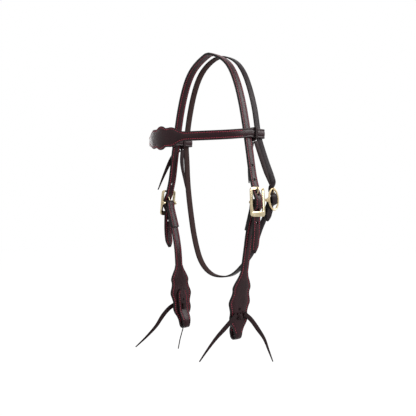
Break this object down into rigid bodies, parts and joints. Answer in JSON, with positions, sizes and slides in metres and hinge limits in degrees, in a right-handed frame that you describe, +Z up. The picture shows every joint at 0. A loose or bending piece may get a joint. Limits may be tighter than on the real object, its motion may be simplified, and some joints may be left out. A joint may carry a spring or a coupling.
{
  "type": "western headstall",
  "caption": "Leather western headstall with a scalloped browband, throatlatch, brass cheek buckles and lace-tied bit ends.",
  "frame": {"origin": "middle of the level underside of the crown strap, where it rests on the horse's poll", "axes": "+X is the horse's left, -Y is forward, +Z is up; the crown and cheek straps hang in the plane Y = 0"},
  "size_m": [0.2555, 0.193, 0.5552],
  "materials": {
    "strap_leather": "dark burgundy, waxed, doubled and stitched",
    "throat_leather": "dark burgundy, single ply",
    "lace_leather": "soft latigo lace",
    "brass": "polished brass"
  },
  "bodies": {
    "headstall": {"crown_strap": "strap_leather", "left_buckle_frame": "brass", "left_buckle_bar": "brass", "right_buckle_frame": "brass", "right_buckle_bar": "brass"},
    "left_cheek": {"left_cheek_strap": "strap_leather", "left_bit_tie_knot": "lace_leather", "left_bit_tie_front_tail": "lace_leather", "left_bit_tie_rear_tail": "lace_leather"},
    "right_cheek": {"right_cheek_strap": "strap_leather", "right_bit_tie_knot": "lace_leather", "right_bit_tie_front_tail": "lace_leather", "right_bit_tie_rear_tail": "lace_leather"},
    "left_tongue": {"left_buckle_tongue": "brass"},
    "right_tongue": {"right_buckle_tongue": "brass"},
    "throatlatch": {"throatlatch_strap": "throat_leather", "throat_buckle_frame": "brass", "throat_buckle_bar": "brass"},
    "throat_tongue": {"throat_buckle_tongue": "brass"},
    "forehead_band": {"browband": "strap_leather", "left_browband_tie_knot": "lace_leather", "left_browband_tie_front_tail": "lace_leather", "left_browband_tie_rear_tail": "lace_leather", "right_browband_tie_knot": "lace_leather", "right_browband_tie_front_tail": "lace_leather", "right_browband_tie_rear_tail": "lace_leather"}
  },
  "joints": [
    {"name": "left_cheek_swing", "type": "hinge", "parent": "headstall", "child": "left_cheek", "pos_m": [0.1165, 0, -0.2655], "axis": [0, 1, 0], "range_deg": [0, 10]},
    {"name": "right_cheek_swing", "type": "hinge", "parent": "headstall", "child": "right_cheek", "pos_m": [-0.1195, 0, -0.2655], "axis": [0, -1, 0], "range_deg": [0, 10]},
    {"name": "left_tongue_lift", "type": "hinge", "parent": "headstall", "child": "left_tongue", "pos_m": [0.1165, 0, -0.2655], "axis": [0, 1, 0], "range_deg": [0, 4]},
    {"name": "right_tongue_lift", "type": "hinge", "parent": "headstall", "child": "right_tongue", "pos_m": [-0.1195, 0, -0.2655], "axis": [0, -1, 0], "range_deg": [0, 4]},
    {"name": "throatlatch_swing", "type": "hinge", "parent": "headstall", "child": "throatlatch", "pos_m": [0, 0.025, -0.148], "axis": [1, 0, 0], "range_deg": [-2, 2]},
    {"name": "throat_tongue_lift", "type": "hinge", "parent": "throatlatch", "child": "throat_tongue", "pos_m": [0.1025, 0.0525, -0.26], "axis": [0, 0.9917, 0.1289], "range_deg": [0, 4]},
    {"name": "browband_slide", "type": "slide", "parent": "headstall", "child": "forehead_band", "axis": [0, 0, 1], "range_m": [-0.003, 0.003]}
  ]
}
